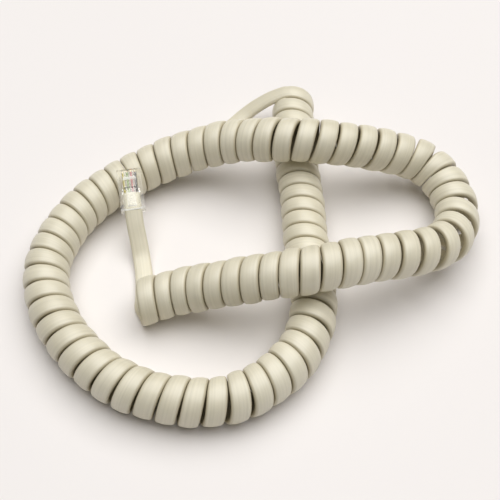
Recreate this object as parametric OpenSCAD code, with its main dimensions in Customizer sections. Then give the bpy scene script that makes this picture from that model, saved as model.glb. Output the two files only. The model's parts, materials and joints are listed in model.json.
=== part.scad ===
// Coiled handset cord: a flat four-core cord wound into a long coil, with a clear modular plug on each end.
// It lies on a surface in a loose loop that passes over itself twice. +Z is up and the surface is at Z = 0.

/* [Cord] */
// Outside diameter of the coil
coil_od = 14.4; // [14:0.1:14.8]
// Width of the flat cord
cord_w = 5.5; // [5.4:0.05:5.6]
// Thickness of the flat cord
cord_t = 2.5; // [2.4:0.05:2.6]

/* [Plug] */
// Width of a plug across its contacts
plug_w = 7.65; // [7.6:0.05:7.9]
// Length of a plug from its cord end to its nose
plug_l = 13.3; // [13.1:0.1:13.6]
// Height of a plug without its latch
plug_h = 5.2; // [5.1:0.1:5.6]
// Distance between the middles of two neighbouring contacts
contact_pitch = 1.27; // [1.2:0.01:1.3]
// Thickness of a contact blade
contact_t = 0.35; // [0.3:0.01:0.4]
// Diameter of one insulated core
core_d = 1; // [0.9:0.05:1.05]

/* [Latch] */
// Angle at which the free latch stands up from the plug
latch_rise = 14; // [13:0.5:15]
// Width of the latch between the plug's nose and its locking shoulders
latch_w = 3.9; // [3.6:0.1:4]
// Width of the finger tab behind the shoulders
tab_w = 2.8; // [2.5:0.1:3]

/* [Hidden] */
eps = 0.01;
$fn = 48;

// Cord colours: the jacket, and the four cores in the order of their contacts
jacket_colour = [0.88, 0.86, 0.79];
core_colours = ["dimgray", "firebrick", "yellowgreen", "gold"];
clear_colour = [0.85, 0.9, 0.9, 0.5];
contact_colour = "goldenrod";

// Middle of the coil from its first end face to its last: X, Y and the lift above the surface
COIL_ROUTE = [
    [-37, -23, 0], [-24, -20, 2.5], [-10, -20.5, 7.5], [3, -21, 12], [17, -20.5, 15], [30, -16.7, 14],
    [41.5, -13, 11.5], [53, -8, 8], [60.8, 0, 3.5], [64.4, 11.5, 0.5], [62.4, 22.6, 0.5], [55.8, 30.6, 3],
    [44.4, 31.7, 7.2], [31.8, 30.6, 11.8], [16, 30, 15], [4, 32, 13], [-8, 35, 9], [-20, 34.8, 5],
    [-31, 32.3, 2], [-43, 26, 0], [-54, 16, 0], [-61, 4, 0], [-64.5, -10, 0], [-61, -25, 0],
    [-52, -39, 0], [-39, -50, 0], [-22, -55.5, 0], [-7, -55, 0], [5, -48, 0], [13.5, -38, 0],
    [17.5, -24, 0], [16.5, -10, 0], [15.5, 4, 0], [15, 18, 0], [13.5, 33, 0], [13, 47, 0], [13, 63, 0]];
rings_per_span = 2;
coil_sides = 12;
coil_r = coil_od / 2;

// Plug poses: the middle of the contact side's cord end, then its pitch, roll and yaw
PLUG_A = [[-38.8, 11.2, 8.8], [27, 0, 9]];
PLUG_B = [[-16.3, 48.5, 0], [0, 0, 112]];

// Free middle of each flat tail, from its plug to the coil
TAIL_A_ROUTE = [
    [-38, 6.5, 8.6], [-37, 2.5, 5.2], [-36, -2, 2.2], [-35, -8, 1.3], [-34.5, -15, 1.3], [-34.5, -20, 1.3]];
TAIL_B_ROUTE = [
    [-13, 50, 2.4], [-9, 53, 3], [-4, 57, 5], [0, 58.9, 7.4], [5, 60.1, 10.3], [10, 60.5, 12.6]];
jacket_end = 5.7;
jacket_bevel = 0.9;

// Clearances: around the cord in its tunnel, around a core, beside a contact blade, and around a clamp bar
fit = 0.15;
core_fit = 0.06;
slot_fit = 0.08;
bar_fit = 0.1;
// The cord's tunnel runs from the cord end to just past the jacket's cut end, and flares at its mouth
tunnel_z = 2.5;
tunnel_w = cord_w + 2 * fit;
tunnel_h = cord_t + 2 * fit;
tunnel_l = jacket_end + 0.2;
flare = 0.3;
flare_l = 1;
core_end = plug_l - 1.1;
// Top of the recess that the latch lies in, and its width between the side walls
recess_z = plug_h - 1;
recess_w = latch_w + 0.6;
// Bevels of the housing's nose: below, above, and the long slope behind the upper one
nose_low = 0.4;
nose_high = 0.8;
nose_slope_l = 2;
// Contact blades stand on edge in slots that are open at the nose and below
blade_y0 = 8.3;
blade_y1 = plug_l - 0.5;
blade_z0 = 0.35;
blade_z1 = tunnel_z + 0.2;
foot_z = tunnel_z - core_d / 2 - 0.2;
heel = 0.6;
tooth = 0.7;
tooth_inset = 0.3;
// Clamp bars, as the Y of their two sides: one presses on the jacket, one on the cores
cord_clamp_y = [1.9, 4.9];
core_clamp_y = [5.95, 6.95];
cord_clamp_w = cord_w - 1;
core_clamp_w = cord_w - 0.3;
clamp_z0 = 0.2;
clamp_bevel = 0.5;
// The latch turns about a line near the top of the nose
hinge_y = plug_l - 0.7;
hinge_z = recess_z + 0.62;
hinge_r = 0.45;
latch_t = 0.9;
tab_end = 0.3;
tab_bevel = 0.5;
shoulder_y = 6.3;
shoulder_t = 1.7;
shoulder_slope = 1;

function unit(v) = v / norm(v);

// Point at t between b and c on a Catmull-Rom curve through a, b, c and d
function curve_point(a, b, c, d, t) =
    (2 * b + (c - a) * t + (2 * a - 5 * b + 4 * c - d) * t * t + (3 * b - a - 3 * c + d) * t * t * t) / 2;

// A smooth path through the route's points, with n steps between neighbours
function smooth_path(p, n) =
    let (last = len(p) - 1)
    [for (i = [0 : last - 1], k = [0 : n - 1])
        curve_point(
            i > 0 ? p[i - 1] : 2 * p[0] - p[1],
            p[i],
            p[i + 1],
            i + 2 <= last ? p[i + 2] : 2 * p[last] - p[last - 1],
            k / n),
     p[last]];

function heading(path, i) = unit(path[min(i + 1, len(path) - 1)] - path[max(i - 1, 0)]);

// The section's points at step i: its first axis is level and its second stands up from the path
function section_at(path, i, section) =
    let (t = heading(path, i), w = unit(cross(t, [0, 0, 1])), n = cross(w, t))
    [for (q = section) path[i] + q[0] * w + q[1] * n];

// A closed tube with the given section along a path
module sweep(path, section) {
    n = len(section);
    rings = len(path);
    points = [for (i = [0 : rings - 1]) each section_at(path, i, section)];
    sides = [for (i = [0 : rings - 2], k = [0 : n - 1])
        let (j = (k + 1) % n, a = i * n, b = (i + 1) * n)
        each [[a + k, b + k, b + j], [a + k, b + j, a + j]]];
    first_cap = [for (k = [0 : n - 1]) k];
    last_cap = [for (k = [n - 1 : -1 : 0]) (rings - 1) * n + k];
    polyhedron(points, concat(sides, [first_cap, last_cap]), convexity = 10);
}

// Point given in a plug's own frame: X across, Y from the cord end to the nose, Z up from the contact side
function on_plug(plug, p) =
    let (pitch = plug[1][0], roll = plug[1][1], yaw = plug[1][2],
        y = p.y * cos(pitch) - p.z * sin(pitch),
        height = p.y * sin(pitch) + p.z * cos(pitch),
        x = p.x * cos(roll) + height * sin(roll),
        z = height * cos(roll) - p.x * sin(roll))
    plug[0] + [x * cos(yaw) - y * sin(yaw), x * sin(yaw) + y * cos(yaw), z];

module pose(plug) {
    translate(plug[0]) rotate(plug[1]) children();
}

// A slab across the plug, from an outline of [Y, Z] points
module across(width, outline) {
    translate([-width / 2, 0, 0]) rotate([90, 0, 90]) linear_extrude(width) polygon(outline);
}

// Contact 1 is on the right when the plug is seen from its contact side with the nose up
function contact_x(i) = (2.5 - i) * contact_pitch;

flat_section = [
    [-cord_w / 2, -cord_t / 2 + jacket_bevel], [-cord_w / 2 + jacket_bevel, -cord_t / 2],
    [cord_w / 2 - jacket_bevel, -cord_t / 2], [cord_w / 2, -cord_t / 2 + jacket_bevel],
    [cord_w / 2, cord_t / 2 - jacket_bevel], [cord_w / 2 - jacket_bevel, cord_t / 2],
    [-cord_w / 2 + jacket_bevel, cord_t / 2], [-cord_w / 2, cord_t / 2 - jacket_bevel]];

// The coil is one fat tube of its outside diameter
module cord_coil() {
    middle = [for (p = COIL_ROUTE) p + [0, 0, coil_r]];
    round_section = [for (k = [0 : coil_sides - 1])
        let (a = 360 * (k + 0.5) / coil_sides, r = coil_r / cos(180 / coil_sides))
        [r * cos(a), r * sin(a)]];
    color(jacket_colour) sweep(smooth_path(middle, rings_per_span), round_section);
}

// Flat cord between a plug and the coil; its cut end is inside the plug
module tail(plug, route) {
    in_plug = [on_plug(plug, [0, jacket_end, tunnel_z]), on_plug(plug, [0, 0, tunnel_z])];
    color(jacket_colour) sweep(concat(in_plug, route), flat_section);
}

// Window through the housing's contact side for a clamp bar of the given width and Y range
module clamp_window(width, y, top) {
    translate([-width / 2 - bar_fit, y[0] - bar_fit, -1])
        cube([width + 2 * bar_fit, y[1] - y[0] + 2 * bar_fit, top + 1]);
}

// Clear body: a block with a latch recess, a tunnel for the cord, four core holes and four contact slots
module plug_housing() {
    color(clear_colour) difference() {
        across(plug_w, [[0, 0], [plug_l - nose_low, 0], [plug_l, nose_low], [plug_l, plug_h - nose_high],
            [plug_l - nose_low, plug_h - nose_high / 2], [plug_l - nose_slope_l, plug_h], [0, plug_h]]);
        translate([-recess_w / 2, -eps, recess_z]) cube([recess_w, plug_l + 1, plug_h]);
        translate([-tunnel_w / 2, -eps, tunnel_z - tunnel_h / 2]) cube([tunnel_w, tunnel_l, tunnel_h]);
        across(tunnel_w + flare, [[-eps, tunnel_z - tunnel_h / 2 - flare],
            [flare_l, tunnel_z], [-eps, tunnel_z + tunnel_h / 2 + flare]]);
        for (i = [1 : 4]) {
            translate([contact_x(i), tunnel_l - bar_fit, tunnel_z]) rotate([-90, 0, 0])
                cylinder(d = core_d + 2 * core_fit, h = core_end - tunnel_l + 3 * bar_fit);
            translate([contact_x(i) - contact_t / 2 - slot_fit, blade_y0 - bar_fit, -1])
                cube([contact_t + 2 * slot_fit, plug_l, blade_z1 + slot_fit + 1]);
        }
        clamp_window(cord_clamp_w, cord_clamp_y, tunnel_z - tunnel_h / 2 + eps);
        clamp_window(core_clamp_w, core_clamp_y, tunnel_z);
    }
}

// Latch at rest: a sprung arm from the nose to its shoulders, and a narrower finger tab behind them
module plug_latch() {
    arm_l = hinge_y - shoulder_y;
    tab_l = hinge_y - tab_end;
    low = -latch_t / 2;
    high = latch_t / 2;
    color(clear_colour) translate([0, hinge_y, hinge_z]) rotate([-latch_rise, 0, 0]) {
        rotate([0, 90, 0]) cylinder(r = hinge_r, h = latch_w, center = true);
        across(latch_w, [[-arm_l, low], [0, low], [0, high],
            [-arm_l + shoulder_slope, low + shoulder_t], [-arm_l, low + shoulder_t]]);
        across(tab_w, [[-tab_l, low], [-arm_l + eps, low], [-arm_l + eps, high],
            [-tab_l + tab_bevel, high], [-tab_l, high - tab_bevel / 2]]);
    }
}

// Wedge that is pressed into the jacket when the plug is crimped
module plug_cord_clamp() {
    y0 = cord_clamp_y[0];
    y1 = cord_clamp_y[1];
    top = tunnel_z - cord_t / 2;
    color(clear_colour) across(cord_clamp_w,
        [[y0, clamp_z0 + clamp_bevel], [y0 + clamp_bevel, clamp_z0], [y1, clamp_z0], [y1, top], [y0, top]]);
}

// Bar that is pressed onto the four cores when the plug is crimped
module plug_core_clamp() {
    y0 = core_clamp_y[0];
    y1 = core_clamp_y[1];
    top = tunnel_z - core_d / 2;
    color(clear_colour) across(core_clamp_w, [[y0, clamp_z0], [y1, clamp_z0], [y1, top], [y0, top]]);
}

// Contact blade: a heel at the nose, a flat foot and two teeth that pierce the core
module plug_contact(i) {
    tooth_1 = blade_y0 + tooth_inset;
    tooth_2 = blade_y1 - heel - tooth_inset - tooth;
    color(contact_colour) translate([contact_x(i), 0, 0])
        across(contact_t, [[blade_y0, blade_z0], [blade_y1 - heel, blade_z0], [blade_y1, blade_z0 + heel],
            [blade_y1, foot_z], [tooth_2 + tooth, foot_z], [tooth_2 + tooth / 2, blade_z1],
            [tooth_2, foot_z], [tooth_1 + tooth, foot_z], [tooth_1 + tooth / 2, blade_z1],
            [tooth_1, foot_z], [blade_y0, foot_z]]);
}

// Insulated core from the jacket's cut end to the nose, pierced by its contact's teeth
module plug_core(i) {
    color(core_colours[i - 1]) difference() {
        translate([contact_x(i), jacket_end, tunnel_z]) rotate([-90, 0, 0])
            cylinder(d = core_d, h = core_end - jacket_end);
        plug_contact(i);
    }
}

cord_coil();
tail(PLUG_A, TAIL_A_ROUTE);  // cord_tail_a
tail(PLUG_B, TAIL_B_ROUTE);  // cord_tail_b
pose(PLUG_A) plug_housing();  // plug_a_housing
pose(PLUG_A) plug_latch();  // plug_a_latch
pose(PLUG_A) plug_cord_clamp();  // plug_a_cord_clamp
pose(PLUG_A) plug_core_clamp();  // plug_a_core_clamp
pose(PLUG_A) plug_contact(1);  // plug_a_contact_1
pose(PLUG_A) plug_contact(2);  // plug_a_contact_2
pose(PLUG_A) plug_contact(3);  // plug_a_contact_3
pose(PLUG_A) plug_contact(4);  // plug_a_contact_4
pose(PLUG_A) plug_core(1);  // plug_a_core_1
pose(PLUG_A) plug_core(2);  // plug_a_core_2
pose(PLUG_A) plug_core(3);  // plug_a_core_3
pose(PLUG_A) plug_core(4);  // plug_a_core_4
pose(PLUG_B) plug_housing();  // plug_b_housing
pose(PLUG_B) plug_latch();  // plug_b_latch
pose(PLUG_B) plug_cord_clamp();  // plug_b_cord_clamp
pose(PLUG_B) plug_core_clamp();  // plug_b_core_clamp
pose(PLUG_B) plug_contact(1);  // plug_b_contact_1
pose(PLUG_B) plug_contact(2);  // plug_b_contact_2
pose(PLUG_B) plug_contact(3);  // plug_b_contact_3
pose(PLUG_B) plug_contact(4);  // plug_b_contact_4
pose(PLUG_B) plug_core(1);  // plug_b_core_1
pose(PLUG_B) plug_core(2);  // plug_b_core_2
pose(PLUG_B) plug_core(3);  // plug_b_core_3
pose(PLUG_B) plug_core(4);  // plug_b_core_4
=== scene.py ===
"""Looks of a coiled handset cord: a flat cord in about 82 turns, with a clear modular plug on each end."""

import json
import math

import bmesh
import bpy
import numpy as np
from mathutils import Matrix, Vector


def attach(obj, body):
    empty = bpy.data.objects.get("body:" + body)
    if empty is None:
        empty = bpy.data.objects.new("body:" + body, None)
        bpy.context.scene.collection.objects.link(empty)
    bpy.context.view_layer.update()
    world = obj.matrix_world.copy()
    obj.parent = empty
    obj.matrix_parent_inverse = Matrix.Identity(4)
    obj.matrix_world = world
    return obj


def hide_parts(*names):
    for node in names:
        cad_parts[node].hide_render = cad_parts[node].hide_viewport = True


MM = 0.001
UP = np.array([0, 0, 1.0])
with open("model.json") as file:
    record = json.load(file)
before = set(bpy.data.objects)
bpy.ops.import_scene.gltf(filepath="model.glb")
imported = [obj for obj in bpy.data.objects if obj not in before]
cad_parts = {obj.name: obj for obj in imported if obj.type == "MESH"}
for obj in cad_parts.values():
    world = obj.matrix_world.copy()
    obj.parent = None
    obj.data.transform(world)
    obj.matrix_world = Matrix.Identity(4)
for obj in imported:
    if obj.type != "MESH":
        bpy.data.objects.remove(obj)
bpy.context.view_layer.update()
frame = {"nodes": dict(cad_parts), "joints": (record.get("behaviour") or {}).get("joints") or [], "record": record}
scene = bpy.context.scene


# ---------------------------------------------------------------- camera

camera_data = bpy.data.cameras.new("camera")
camera_data.sensor_width = 36
camera_data.lens = 77.26
camera = bpy.data.objects.new("camera", camera_data)
camera.location = (-1.85 * MM, -201.3 * MM, 276 * MM)
camera.rotation_euler = (math.radians(36.5), 0, 0)
scene.collection.objects.link(camera)
scene.camera = camera

# ---------------------------------------------------------------- the cord's own sizes and route

# The flat cord's width and thickness, the radius of its edges and how far its faces stand proud
CORD_W = 5.5 * MM
CORD_T = 2.5 * MM
EDGE_R = 0.96 * MM
CROWN = 0.2 * MM
# Round the section from the middle of one edge, this far to the middle of the outer face
FACE_MIDDLE = EDGE_R * math.pi / 2 + CORD_W / 2 - EDGE_R
COIL_R = 14.4 * MM / 2
WIND_R = COIL_R - CORD_T / 2
# In a plug the jacket reaches this far in, with its middle this high
JACKET_END = 5.7 * MM
TUNNEL_Z = 2.5 * MM

# Middle of the coil from its first end face to its last: X, Y and the lift off the floor, in millimetres
COIL_ROUTE = [
    (-37, -23, 0), (-24, -20, 2.5), (-10, -20.5, 7.5), (3, -21, 12), (17, -20.5, 15), (30, -16.7, 14),
    (41.5, -13, 11.5), (53, -8, 8), (60.8, 0, 3.5), (64.4, 11.5, 0.5), (62.4, 22.6, 0.5), (55.8, 30.6, 3),
    (44.4, 31.7, 7.2), (31.8, 30.6, 11.8), (16, 30, 15), (4, 32, 13), (-8, 35, 9), (-20, 34.8, 5),
    (-31, 32.3, 2), (-43, 26, 0), (-54, 16, 0), (-61, 4, 0), (-64.5, -10, 0), (-61, -25, 0),
    (-52, -39, 0), (-39, -50, 0), (-22, -55.5, 0), (-7, -55, 0), (5, -48, 0), (13.5, -38, 0),
    (17.5, -24, 0), (16.5, -10, 0), (15.5, 4, 0), (15, 18, 0), (13.5, 33, 0), (13, 47, 0), (13, 63, 0)]
# How far one turn moves along the coil at each of those points, in millimetres: more at its bends
TURN_STEP = [
    5.6, 5.6, 5.8, 5.6, 5.6, 5.9, 6.5, 7.9, 9.3, 8.8, 6.3, 6.5, 6.8, 6.5, 5.9, 6.1, 6.1, 6.1, 6.2,
    5.9, 5.9, 5.9, 5.8, 6.3, 6.3, 6.2, 6.1, 6.2, 5.7, 6.0, 6.7, 5.5, 5.4, 5.4, 5.5, 5.7, 5.2]
# From the bottom of the first turn to just past the top of the last
TURNS = 82.5 + 22 / 360
RINGS_PER_TURN = 44
# Wound tight, the soft cord swells to this width
WOUND_W = 5.9 * MM
# Turns that touch leave a fine line between them: each takes this share of its half of the room
TOUCH = 0.975

# Free middle of each flat tail, from its plug to the coil, in millimetres
TAIL_A_ROUTE = [
    (-38, 6.5, 8.6), (-37, 2.5, 5.2), (-36, -2, 2.2), (-35, -8, 1.3), (-34.5, -15, 1.3), (-34.5, -20, 1.3)]
TAIL_B_ROUTE = [
    (-13, 50, 2.4), (-9, 53, 3), (-4, 57, 5), (0, 58.9, 7.4), (5, 60.1, 10.3), (10, 60.5, 12.6)]
TAIL_STEP = 0.8 * MM
# How many steps each curve is averaged over on both sides
AXIS_EASE = 40
TAIL_EASE = 6
JOINT_EASE = 6

# ---------------------------------------------------------------- curves


def unit(v):
    return v / np.linalg.norm(v, axis=-1, keepdims=True)


def arc_length(points):
    return np.concatenate([[0], np.cumsum(np.linalg.norm(np.diff(points, axis=0), axis=1))])


def curve_through(points, step):
    """A Catmull-Rom curve through the points, as points about step apart."""
    p = np.array(points, float)
    p = np.vstack([2 * p[0] - p[1], p, 2 * p[-1] - p[-2]])
    pieces = []
    for a, b, c, d in zip(p, p[1:], p[2:], p[3:]):
        n = max(4, round(float(np.linalg.norm(c - b)) / step))
        t = (np.arange(n) / n)[:, None]
        square = (2 * a - 5 * b + 4 * c - d) * t**2
        cube = (3 * b - a - 3 * c + d) * t**3
        pieces.append((2 * b + (c - a) * t + square + cube) / 2)
    return np.vstack(pieces + [p[-2:-1]])


def at_lengths(points, lengths):
    """The points of the curve at these lengths along it."""
    along = arc_length(points)
    return np.stack([np.interp(lengths, along, points[:, k]) for k in range(3)], axis=1)


def evened(points, step):
    """The same curve with its points evenly spaced."""
    total = arc_length(points)[-1]
    return at_lengths(points, np.linspace(0, total, max(2, round(total / step) + 1)))


def relaxed(points, half):
    """The curve with every point averaged over its neighbours within half steps; the ends stay."""
    weights = np.hanning(2 * half + 3)[1:-1]
    weights = weights / weights.sum()
    before = 2 * points[0] - points[half:0:-1]
    after = 2 * points[-1] - points[-2:-half - 2:-1]
    padded = np.vstack([before, points, after])
    return np.stack([np.convolve(padded[:, k], weights, "valid") for k in range(points.shape[1])], axis=1)


def headings(points):
    return unit(np.gradient(points, axis=0))


# ---------------------------------------------------------------- plug frames


def named(rows, name):
    return next(row for row in rows if row["name"] == name)


PLUG_L = named(frame["record"]["mounts"], "plug_a_nose")["dims"]["length_mm"] * MM
PLUG_W = 7.65 * MM
PLUG_H = 5.2 * MM


def plug_matrix(end):
    """A plug's own frame: X across, Y from the cord end to the nose, Z up from the contact side."""
    mount = named(frame["record"]["mounts"], f"plug_{end}_nose")
    x = Vector(named(frame["joints"], f"latch_{end}_press")["axis"]).normalized()
    y = Vector(mount["axis"]).normalized()
    z = x.cross(y)
    origin = Vector(mount["pos_m"]) - y * PLUG_L - z * (PLUG_H / 2)
    matrix = Matrix((x, y, z)).transposed().to_4x4()
    matrix.translation = origin
    return matrix


PLUGS = {end: plug_matrix(end) for end in "ab"}


def on_plug(end, x, y, z):
    return np.array(PLUGS[end] @ Vector((x, y, z)))


# ---------------------------------------------------------------- the flat cord's middle line


def coil_axis():
    """The coil's middle, evenly spaced, and the number of turns wound so far at each of its points."""
    fine = 0.25 * MM
    route = [(x * MM, y * MM, lift * MM + COIL_R) for x, y, lift in COIL_ROUTE]
    axis = evened(curve_through(route, fine), fine)
    axis = evened(relaxed(axis, AXIS_EASE), fine)
    axis[:, 2] = np.maximum(axis[:, 2], COIL_R)
    along = arc_length(axis)
    nearest = [along[np.argmin(np.linalg.norm(axis - p, axis=1))] for p in np.array(route)]
    step = np.interp(along, nearest, np.array(TURN_STEP) * MM)
    start, end = CORD_W / 2, along[-1] - CORD_W / 2
    wound = np.concatenate([[0], np.cumsum(np.diff(along) * (1 / step[1:] + 1 / step[:-1]) / 2)])
    wound = wound - np.interp(start, along, wound)
    wound = wound * TURNS / np.interp(end, along, wound)
    return axis, wound


def wound_cord():
    """The wound stretch: its points and width directions."""
    axis, wound = coil_axis()
    turns = np.linspace(0, TURNS, round(TURNS * RINGS_PER_TURN) + 1)
    along = np.interp(turns, wound, arc_length(axis))
    middle = at_lengths(axis, along)
    ahead = headings(axis)
    ahead = unit(np.stack([np.interp(along, arc_length(axis), ahead[:, k]) for k in range(3)], axis=1))
    up = unit(UP - (ahead @ UP)[:, None] * ahead)
    side = np.cross(ahead, up)
    angle = (math.pi - 2 * math.pi * turns)[:, None]
    out = np.cos(angle) * up + np.sin(angle) * side
    # No two turns of a real coil are quite the same size
    swell = (0.09 * np.sin(2.3 * turns + 0.4) + 0.07 * np.sin(2.059 * turns + 1.9) - 0.08) * MM
    points = middle + out * (WIND_R + swell)[:, None]
    width = unit(np.cross(headings(points), out))
    return points, width


def tail_points(end, route, joint):
    """A tail's middle, from inside its plug along its route to the coil's end, joint."""
    in_plug = [on_plug(end, 0, JACKET_END, TUNNEL_Z), on_plug(end, 0, 0, TUNNEL_Z)]
    points = in_plug + [np.array(p) * MM for p in route] + [joint]
    fine = 0.2 * MM
    return evened(relaxed(evened(curve_through(points, fine), fine), TAIL_EASE), TAIL_STEP)


wound_points, wound_width = wound_cord()
tail_a = tail_points("a", TAIL_A_ROUTE, wound_points[0])[:-1]
tail_b = tail_points("b", TAIL_B_ROUTE, wound_points[-1])[::-1][1:]
cord_line = np.vstack([tail_a, wound_points, tail_b])
tail_a_width = unit(np.cross(UP, headings(tail_a)))
tail_b_width = unit(np.cross(headings(tail_b), UP))
cord_width = np.vstack([tail_a_width, wound_width, tail_b_width])


def eased_joint(width, at, reach):
    """The width directions with the change at one ring spread over reach rings on both sides."""
    result = width.copy()
    for i in range(at - reach, at + reach + 1):
        low, high = max(0, i - reach), min(len(width), i + reach + 1)
        result[i] = width[low:high].mean(axis=0)
    return unit(result)


cord_width = eased_joint(cord_width, len(tail_a), JOINT_EASE)
cord_width = eased_joint(cord_width, len(tail_a) + len(wound_points), JOINT_EASE)
cord_ahead = headings(cord_line)
cord_out = unit(np.cross(cord_width, cord_ahead))
cord_width = np.cross(cord_ahead, cord_out)


def half_widths():
    """How far the cord reaches to each side of its middle: turns that touch inside a bend are squeezed."""
    n = len(wound_points)
    first = len(tail_a)
    full = np.interp(np.arange(n), [0, RINGS_PER_TURN, n - 1 - RINGS_PER_TURN, n - 1],
                     [CORD_W / 2, WOUND_W / 2, WOUND_W / 2, CORD_W / 2])
    fore = np.full(len(cord_line), CORD_W / 2)
    back = np.full(len(cord_line), CORD_W / 2)
    fore[first:first + n] = full
    back[first:first + n] = full
    width = cord_width[first:first + n]
    gap = wound_points[RINGS_PER_TURN:] - wound_points[:-RINGS_PER_TURN]
    room = (gap * (width[RINGS_PER_TURN:] + width[:-RINGS_PER_TURN]) / 2).sum(axis=1) / 2 * TOUCH
    fore[first:first + n - RINGS_PER_TURN] = np.minimum(full[:-RINGS_PER_TURN], room)
    back[first + RINGS_PER_TURN:first + n] = np.minimum(full[RINGS_PER_TURN:], room)
    return fore, back


fore_half, back_half = half_widths()

# ---------------------------------------------------------------- the cord's mesh


def flat_outline(corner_steps=4):
    """The section, with rounded edges and crowned faces: (share of the half width, metres out)."""
    half_w, half_t = CORD_W / 2, CORD_T / 2
    points = []
    for side_w, side_t, start in ((1, 1, 0), (-1, 1, 90), (-1, -1, 180), (1, -1, 270)):
        for k in range(corner_steps + 1):
            a = math.radians(start + 90 * k / corner_steps)
            x = side_w * (half_w - EDGE_R) + EDGE_R * math.cos(a)
            z = side_t * (half_t - CROWN - EDGE_R) + EDGE_R * math.sin(a)
            points.append((x / half_w, z))
        if side_w == side_t:
            reach = half_w - EDGE_R
            for share in (0.5, 0, -0.5):
                bulge = CROWN * (1 - share * share)
                points.append((side_w * share * reach / half_w, side_t * (half_t - CROWN + bulge)))
    return points


def mesh_object(name, vertices, faces):
    mesh = bpy.data.meshes.new(name)
    mesh.from_pydata([tuple(v) for v in vertices], [], faces)
    mesh.shade_smooth()
    made = bpy.data.objects.new(name, mesh)
    scene.collection.objects.link(made)
    return made


def cord_mesh():
    """The flat cord as one closed mesh: a ring of its section at each point of its line, and two ends."""
    outline = flat_outline()
    n = len(outline)
    rings = len(cord_line)
    x = np.array([p[0] for p in outline])
    z = np.array([p[1] for p in outline])
    reach = np.where(x[None, :] > 0, fore_half[:, None], back_half[:, None]) * x[None, :]
    vertices = (cord_line[:, None, :] + reach[:, :, None] * cord_width[:, None, :]
                + z[None, :, None] * cord_out[:, None, :]).reshape(-1, 3)
    # Nothing sinks into the floor
    vertices[:, 2] = np.maximum(vertices[:, 2], 0)
    faces = [(i * n + k, i * n + (k + 1) % n, (i + 1) * n + (k + 1) % n, (i + 1) * n + k)
             for i in range(rings - 1) for k in range(n)]
    faces.append(tuple(range(n - 1, -1, -1)))
    faces.append(tuple((rings - 1) * n + k for k in range(n)))
    cord = mesh_object("flat_cord", vertices, faces)
    # A map of the surface in metres: along the cord, and round its section
    along = arc_length(cord_line)
    ring_points = np.stack([x * CORD_W / 2, z], axis=1)
    closed = np.vstack([ring_points, ring_points[:1]])
    around = np.concatenate([[0], np.cumsum(np.linalg.norm(np.diff(closed, axis=0), axis=1))])
    uv = cord.data.uv_layers.new(name="run")
    values = []
    for i in range(rings - 1):
        for k in range(n):
            values += [along[i], around[k], along[i], around[k + 1],
                       along[i + 1], around[k + 1], along[i + 1], around[k]]
    values += [0.0] * (4 * n)
    uv.data.foreach_set("uv", values)
    return cord


flat_cord = cord_mesh()
bm = bmesh.new()
bm.from_mesh(flat_cord.data)
bmesh.ops.recalc_face_normals(bm, faces=bm.faces)
bm.to_mesh(flat_cord.data)
bm.free()
cord_length = float(arc_length(cord_line)[-1])
tail_a_length = float(arc_length(tail_a)[-1])
tail_b_length = float(arc_length(tail_b)[-1])

# ---------------------------------------------------------------- materials


class Shader:
    """A material's node tree with short calls to add and join nodes."""

    def __init__(self, name):
        self.material = bpy.data.materials.new(name)
        self.material.use_nodes = True
        self.tree = self.material.node_tree
        self.bsdf = self.tree.nodes["Principled BSDF"]

    def node(self, kind, inputs=None, **settings):
        made = self.tree.nodes.new("ShaderNode" + kind)
        for key, value in settings.items():
            setattr(made, key, value)
        for key, value in (inputs or {}).items():
            self.put(made.inputs[key], value)
        return made

    def put(self, socket, value):
        if isinstance(value, bpy.types.NodeSocket):
            self.tree.links.new(value, socket)
        else:
            socket.default_value = value

    def set(self, **values):
        for key, value in values.items():
            self.put(self.bsdf.inputs[key.replace("_", " ")], value)

    def ramp(self, factor, stops):
        made = self.node("ValToRGB", {"Fac": factor})
        elements = made.color_ramp.elements
        while len(elements) < len(stops):
            elements.new(0.5)
        for element, (place, colour) in zip(elements, stops):
            element.position = place
            element.color = (*colour, 1)
        return made.outputs["Color"]

    def between(self, value, low, high, from_low=0.0, from_high=1.0):
        made = self.node("MapRange", {"Value": value, "From Min": from_low, "From Max": from_high,
                                      "To Min": low, "To Max": high})
        return made.outputs["Result"]

    def noise(self, vector, scale, detail=3.0, roughness=0.5):
        made = self.node("TexNoise", {"Vector": vector, "Scale": scale, "Detail": detail,
                                      "Roughness": roughness})
        return made.outputs["Fac"]

    def math(self, operation, a, b=0.0):
        return self.node("Math", {0: a, 1: b}, operation=operation).outputs["Value"]

    def times(self, a, b):
        made = self.node("MixRGB", {"Fac": 1.0, "Color1": a, "Color2": b}, blend_type="MULTIPLY")
        return made.outputs["Color"]

    def bump(self, height, strength, distance, normal=None):
        inputs = {"Height": height, "Strength": strength, "Distance": distance}
        if normal is not None:
            inputs["Normal"] = normal
        return self.node("Bump", inputs).outputs["Normal"]


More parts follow.
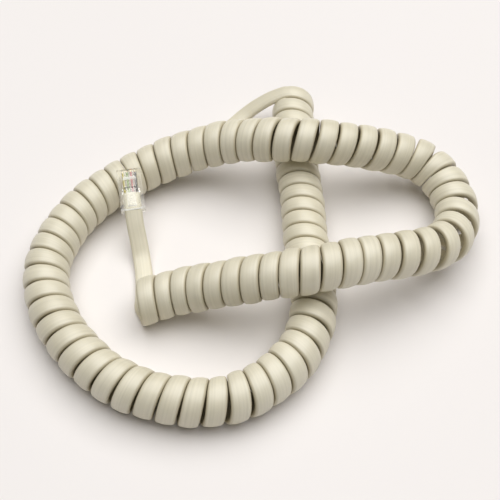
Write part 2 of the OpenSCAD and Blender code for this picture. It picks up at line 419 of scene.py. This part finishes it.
def jacket_material():
    """Satin ivory PVC with draw lines along the cord, cloudy colour and painted shade in the grooves between
    turns.
    """
    s = Shader("ivory_jacket")
    run = s.node("UVMap", uv_map="run").outputs["UV"]
    place = s.node("TexCoord").outputs["Object"]
    lines = s.node("Mapping", {"Vector": run, "Scale": (14, 1300, 1)}).outputs["Vector"]
    around = s.node("SeparateXYZ", {"Vector": run}).outputs["Y"]
    off_face = s.math("ABSOLUTE", s.math("SUBTRACT", around, FACE_MIDDLE))
    # Painted shade: a mask that grows from the edges of the outer face across the side faces, where turns meet
    groove_shade_mask = s.between(off_face, 0.0, 1.0, CORD_W * 0.36, CORD_W * 0.60)
    # The painted shade in the grooves between turns fades out over this distance where the tails begin
    fade = 4 * MM
    coil_end = cord_length - tail_b_length
    along = s.node("SeparateXYZ", {"Vector": run}).outputs["X"]
    past_a = s.between(along, 0.0, 1.0, tail_a_length - fade, tail_a_length + fade)
    before_b = s.between(along, 1.0, 0.0, coil_end - fade, coil_end + fade)
    groove_shade_mask = s.math("MULTIPLY", s.math("MULTIPLY", groove_shade_mask, past_a), before_b)
    streak = s.noise(lines, 1.0, 2.0, 0.6)
    cloud = s.noise(place, 55.0, 3.0)
    grain = s.noise(place, 2600.0, 2.0)
    colour = s.ramp(cloud, [(0.3, (0.745, 0.695, 0.542)), (0.7, (0.80, 0.755, 0.607))])
    faint = s.ramp(streak, [(0.3, (0.885, 0.885, 0.87)), (0.7, (1.0, 1.0, 1.0))])
    # Painted shade between the turns: the masked side faces are made darker and browner
    painted_groove_shade = s.ramp(groove_shade_mask, [(0.0, (1, 1, 1)), (1.0, (0.62, 0.58, 0.48))])
    colour = s.times(s.times(colour, faint), painted_groove_shade)
    rough = s.between(streak, 0.36, 0.47, 0.3, 0.7)
    bump = s.bump(grain, 0.12, 0.02 * MM)
    bump = s.bump(streak, 0.35, 0.03 * MM, bump)
    s.set(Base_Color=colour, Roughness=rough, Normal=bump, IOR=1.5,
          Specular_IOR_Level=0.78, Subsurface_Weight=0.06, Subsurface_Scale=0.8 * MM,
          Subsurface_Radius=(1.0, 0.9, 0.6))
    return s.material


def clear_material(name, clearness, low, high):
    """Moulded clear polycarbonate with a faint flow haze; low and high are the limits of its roughness."""
    s = Shader(name)
    place = s.node("TexCoord").outputs["Object"]
    haze = s.noise(place, 420.0, 2.0)
    rough = s.between(haze, low, high, 0.35, 0.7)
    bump = s.bump(s.noise(place, 900.0, 2.0), 0.06, 0.05 * MM)
    s.set(Base_Color=(0.985, 0.985, 0.965, 1), Roughness=rough, Normal=bump, IOR=1.4,
          Transmission_Weight=clearness)
    # Light passes straight through to what is inside
    path = s.node("LightPath").outputs
    light_ray = s.math("MAXIMUM", path["Is Shadow Ray"], path["Is Diffuse Ray"])
    open_way = s.node("BsdfTransparent", {"Color": (0.95, 0.95, 0.94, 1)}).outputs["BSDF"]
    mixed = s.node("MixShader", {0: light_ray, 1: s.bsdf.outputs["BSDF"], 2: open_way})
    s.put(s.tree.nodes["Material Output"].inputs["Surface"], mixed.outputs["Shader"])
    return s.material


def gold_material():
    s = Shader("gold_plate")
    place = s.node("TexCoord").outputs["Object"]
    smudge = s.noise(place, 1400.0, 3.0)
    colour = s.ramp(smudge, [(0.3, (0.72, 0.47, 0.14)), (0.75, (0.88, 0.64, 0.25))])
    s.set(Base_Color=colour, Metallic=1.0, Roughness=s.between(smudge, 0.18, 0.36))
    return s.material


def core_material(name, dark, light):
    """Extruded insulation of one colour, a little uneven."""
    s = Shader(name)
    place = s.node("TexCoord").outputs["Object"]
    mottle = s.noise(place, 1100.0, 3.0)
    colour = s.ramp(mottle, [(0.3, dark), (0.7, light)])
    s.set(Base_Color=colour, Roughness=s.between(mottle, 0.35, 0.5), Normal=s.bump(mottle, 0.2, 0.03 * MM))
    return s.material


def floor_material():
    s = Shader("pale_floor")
    place = s.node("TexCoord").outputs["Object"]
    shade = s.noise(place, 3.0, 2.0)
    colour = s.ramp(shade, [(0.3, (0.84, 0.81, 0.798)), (0.7, (0.86, 0.83, 0.818))])
    s.set(Base_Color=colour, Roughness=0.75, Specular_IOR_Level=0.2)
    return s.material


JACKET = jacket_material()
CLEAR = clear_material("clear_plastic", 1.0, 0.02, 0.07)
MILKY = clear_material("latch_plastic", 0.88, 0.12, 0.2)
FROSTED = clear_material("frosted_plastic", 0.6, 0.4, 0.55)
GOLD = gold_material()
CORES = {
    1: core_material("core_black", (0.010, 0.009, 0.008), (0.02, 0.018, 0.016)),
    2: core_material("core_red", (0.30, 0.02, 0.02), (0.45, 0.035, 0.03)),
    3: core_material("core_green", (0.16, 0.26, 0.03), (0.24, 0.36, 0.05)),
    4: core_material("core_yellow", (0.42, 0.34, 0.03), (0.58, 0.48, 0.06)),
}


def wear(piece, material):
    piece.data.materials.clear()
    piece.data.materials.append(material)


wear(flat_cord, JACKET)
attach(flat_cord, "cord")
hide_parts("cord_coil", "cord_tail_a", "cord_tail_b")

# ---------------------------------------------------------------- the plugs

# A housing's rim and a latch's finger tab end this far from the cord end
RIM_Y = 0.55 * MM
TAB_Y = 6.4 * MM
RIB_SIZE = (4.2 * MM, 0.9 * MM, 0.4 * MM)
RIB_PLACE = (0, 10.1 * MM, 4.25 * MM)
HOUSING_EDGE = 0.09 * MM
LATCH_EDGE = 0.12 * MM


def finish_behind(bm, end, y):
    """Gives the faces nearer the cord end than y, in the plug's frame, the second material."""
    into_plug = PLUGS[end].inverted()
    cut = PLUGS[end] @ Vector((0, y, 0))
    along_plug = PLUGS[end].to_3x3() @ Vector((0, 1, 0))
    everything = bm.verts[:] + bm.edges[:] + bm.faces[:]
    bmesh.ops.bisect_plane(bm, geom=everything, plane_co=cut, plane_no=along_plug)
    for face in bm.faces:
        face.material_index = int((into_plug @ face.calc_center_median()).y < y)


def add_rib(bm, end):
    """The frosted cross rib over the cores, which parts them into two windows."""
    size = Matrix.Diagonal((*RIB_SIZE, 1))
    rib = bmesh.ops.create_cube(bm, size=1, matrix=PLUGS[end] @ Matrix.Translation(RIB_PLACE) @ size)
    for face in {face for vertex in rib["verts"] for face in vertex.link_faces}:
        face.material_index = 1


def bevelled(node, name, materials, width, end, split_y, rib=False):
    """The CAD node's shape with rounded edges and a second finish near its cord end, in its place."""
    bm = bmesh.new()
    bm.from_mesh(frame["nodes"][node].data)
    bmesh.ops.remove_doubles(bm, verts=bm.verts, dist=0.002 * MM)
    bmesh.ops.dissolve_limit(bm, angle_limit=math.radians(1), verts=bm.verts, edges=bm.edges)
    finish_behind(bm, end, split_y)
    if rib:
        add_rib(bm, end)
    mesh = bpy.data.meshes.new(name)
    bm.to_mesh(mesh)
    bm.free()
    mesh.shade_smooth()
    made = bpy.data.objects.new(name, mesh)
    scene.collection.objects.link(made)
    bevel = made.modifiers.new("rounded edges", "BEVEL")
    bevel.width = width
    bevel.segments = 2
    bevel.limit_method = "ANGLE"
    bevel.angle_limit = math.radians(35)
    made.modifiers.new("even shading", "WEIGHTED_NORMAL").keep_sharp = True
    for material in materials:
        made.data.materials.append(material)
    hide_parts(node)
    return made


for end in "ab":
    housing = bevelled(f"plug_{end}_housing", f"clear_body_{end}", (CLEAR, FROSTED), HOUSING_EDGE,
                       end, RIM_Y, rib=True)
    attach(housing, "cord")
    latch = bevelled(f"plug_{end}_latch", f"clear_latch_{end}", (CLEAR, MILKY), LATCH_EDGE, end, TAB_Y)
    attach(latch, f"latch_{end}")
    inner = {"cord_clamp": CLEAR, "core_clamp": CLEAR}
    for i in range(1, 5):
        inner[f"contact_{i}"] = GOLD
        inner[f"core_{i}"] = CORES[i]
    for part, material in inner.items():
        wear(frame["nodes"][f"plug_{end}_{part}"], material)

# ---------------------------------------------------------------- floor and lights

FLOOR_HALF = 3.0
corners = [(x * FLOOR_HALF, y * FLOOR_HALF, 0) for x, y in ((-1, -1), (1, -1), (1, 1), (-1, 1))]
floor = mesh_object("floor", corners, [(0, 1, 2, 3)])
wear(floor, floor_material())


def soft_light(name, place, size, power, colour):
    """A square soft box that faces the middle of the floor; sizes in metres, power in watts."""
    data = bpy.data.lights.new(name, "AREA")
    data.shape = "SQUARE"
    data.size = size
    data.energy = power
    data.color = colour
    light = bpy.data.objects.new(name, data)
    light.location = place
    light.rotation_euler = (-Vector(place)).to_track_quat("-Z", "Y").to_euler()
    scene.collection.objects.link(light)


soft_light("overhead_softbox", (0.2, 0.36, 1.7), 2.3, 48.0, (1, 0.99, 0.975))

world = bpy.data.worlds.new("studio")
world.use_nodes = True
sky = world.node_tree.nodes["Background"]
sky.inputs["Color"].default_value = (1.0, 0.985, 0.975, 1)
# A pale wall behind the stage, which adds only a little light of its own
seen = world.node_tree.nodes.new("ShaderNodeLightPath").outputs["Is Camera Ray"]
strength = world.node_tree.nodes.new("ShaderNodeMapRange")
strength.inputs["To Min"].default_value = 0.1
strength.inputs["To Max"].default_value = 0.72
world.node_tree.links.new(seen, strength.inputs["Value"])
world.node_tree.links.new(strength.outputs["Result"], sky.inputs["Strength"])
scene.world = world
scene.view_settings.view_transform = "Standard"
